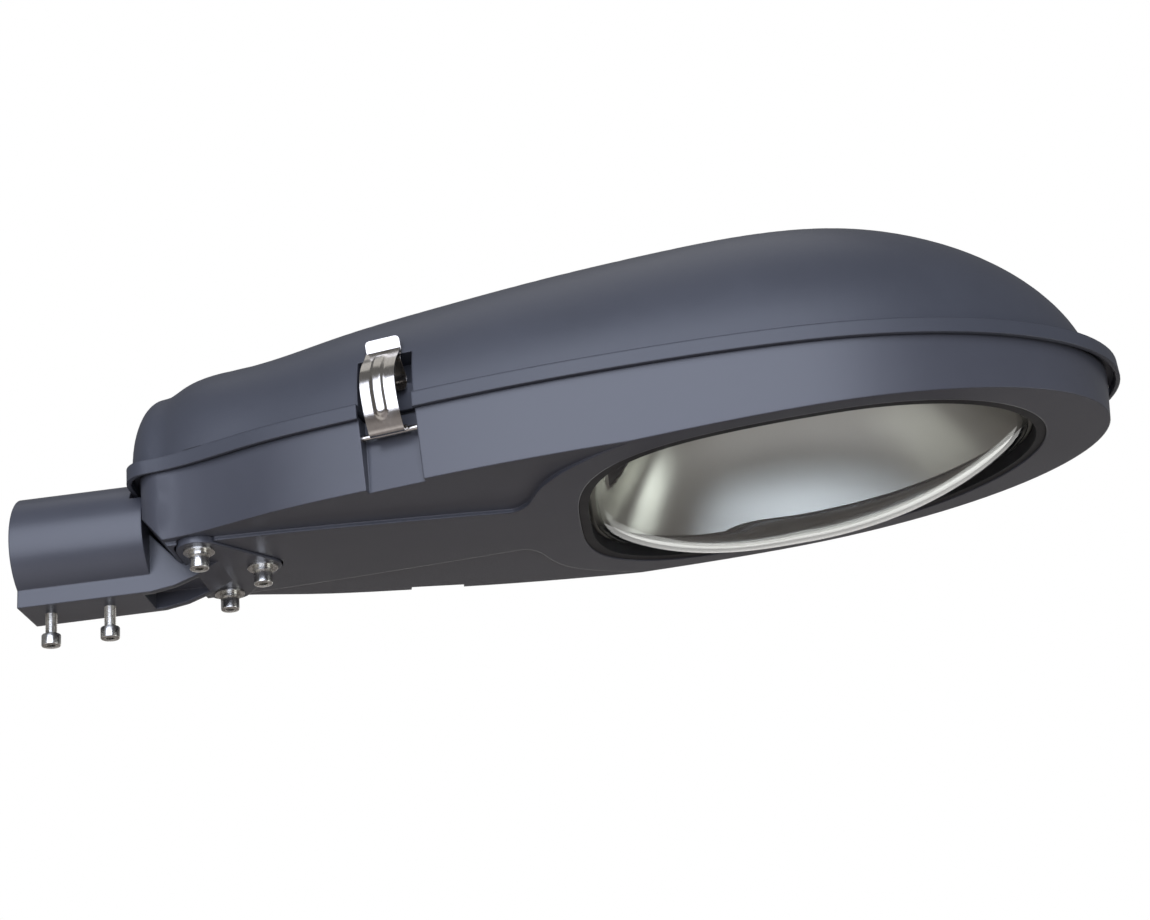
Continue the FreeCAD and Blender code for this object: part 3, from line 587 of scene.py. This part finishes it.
def add_reflector():
    """Reflector: its bright and its upper side, with the flange that the clips hold."""
    bright = (-15.0, 14.2, 90.0)
    upper = (-14.2, 15.0, 90.2)
    mesh, shell = dish_shell("soft_reflector", bright, upper, 3.0, 3.0, 60)
    press_lamp_hole(shell)
    stand_in_shell(mesh, shell, "satin_aluminium", "housing", "reflector")


add_glass()
add_reflector()


# Studio

ROOM = (0.19, 0.19, 0.195)
BACKDROP = (1.1, 1.09, 1.06)
BACKDROP_WAY = (0.0, 0.9, -0.6)
FLOOR_Z = -1.7
FLOOR_HALF = 9.0
FLOOR_TONES = ((0.3, (0.60, 0.53, 0.48)), (0.7, (0.62, 0.55, 0.50)))


def add_floor():
    """Plain warm floor, far below a head that is looked at from underneath."""
    corners = ((-1, -1), (1, -1), (1, 1), (-1, 1))
    mesh = bpy.data.meshes.new("floor")
    mesh.from_pydata([(FLOOR_HALF * x, FLOOR_HALF * y, FLOOR_Z) for x, y in corners], [], [(0, 1, 2, 3)])
    floor = bpy.data.objects.new("floor", mesh)
    bpy.context.scene.collection.objects.link(floor)
    material, tree, shader = new_material("floor")
    join(tree, ramp(tree, noise(tree, 2.0, 3.0), FLOOR_TONES), shader.inputs["Base Color"])
    shader.inputs["Roughness"].default_value = 0.9
    mesh.materials.append(material)


def add_softbox(name, place, target, size, colour, power):
    """Rectangular light at a place, aimed at a target."""
    data = bpy.data.lights.new(name, "AREA")
    data.shape = "RECTANGLE"
    data.size = size[0]
    data.size_y = size[1]
    data.color = colour
    data.energy = power
    lamp = bpy.data.objects.new(name, data)
    lamp.location = place
    lamp.rotation_euler = (Vector(target) - Vector(place)).to_track_quat("-Z", "Y").to_euler()
    bpy.context.scene.collection.objects.link(lamp)


def add_world():
    """White for the camera; everything else meets a bright backdrop behind and a dimmer room in front."""
    world = bpy.data.worlds.new("studio")
    world.use_nodes = True
    tree = world.node_tree
    tree.nodes.clear()
    out = tree.nodes.new("ShaderNodeOutputWorld")
    white = tree.nodes.new("ShaderNodeBackground")
    white.inputs["Color"].default_value = (1.0, 1.0, 1.0, 1.0)
    white.inputs["Strength"].default_value = 1.0
    room = tree.nodes.new("ShaderNodeBackground")
    coords = tree.nodes.new("ShaderNodeTexCoord")
    behind = tree.nodes.new("ShaderNodeVectorMath")
    behind.operation = "DOT_PRODUCT"
    behind.inputs[1].default_value = BACKDROP_WAY
    join(tree, coords.outputs["Generated"], behind.inputs[0])
    stops = ((0.0, ROOM), (0.57, ROOM), (0.8, BACKDROP))
    join(tree, ramp(tree, behind.outputs["Value"], stops), room.inputs["Color"])
    path = tree.nodes.new("ShaderNodeLightPath")
    mix = tree.nodes.new("ShaderNodeMixShader")
    join(tree, path.outputs["Is Camera Ray"], mix.inputs["Fac"])
    join(tree, room.outputs["Background"], mix.inputs[1])
    join(tree, white.outputs["Background"], mix.inputs[2])
    join(tree, mix.outputs["Shader"], out.inputs["Surface"])
    bpy.context.scene.world = world


def add_camera():
    """Camera below the near side, at the photograph's angle."""
    data = bpy.data.cameras.new("camera")
    data.sensor_fit = "HORIZONTAL"
    data.sensor_width = 36.0
    data.lens = 56.35
    data.clip_start = 0.01
    data.clip_end = 100.0
    camera = bpy.data.objects.new("camera", data)
    right = (0.9918, 0.0672, -0.1083)
    up = (0.1261, -0.3951, 0.9100)
    back = (0.0184, -0.9162, -0.4003)
    place = (0.4114, -1.1554, -0.4851)
    rows = list(zip(right, up, back, place))
    camera.matrix_world = Matrix(rows + [(0, 0, 0, 1)])
    bpy.context.scene.collection.objects.link(camera)
    bpy.context.scene.camera = camera


bpy.context.scene.view_settings.view_transform = "Standard"
add_floor()
add_world()
add_softbox("front_softbox", (0.1, -2.4, 0.5), (0.1, 0.0, 0.5), (2.8, 2.9), (0.86, 0.93, 1.13), 94.0)
add_softbox("top_softbox", (0.3, 0.2, 2.4), (0.4, 0.0, 0.0), (2.0, 1.6), (1.0, 1.0, 1.0), 6.0)
add_softbox("nose_softbox", (1.83, -0.2, -0.58), (0.45, 0.07, 0.03), (0.9, 0.5), (0.97, 1.0, 1.0), 3.6)
add_softbox("tail_softbox", (-0.65, -0.48, -0.96), (0.65, 0.06, 0.03), (1.2, 1.0), (1.0, 1.0, 0.97), 1.4)
add_camera()
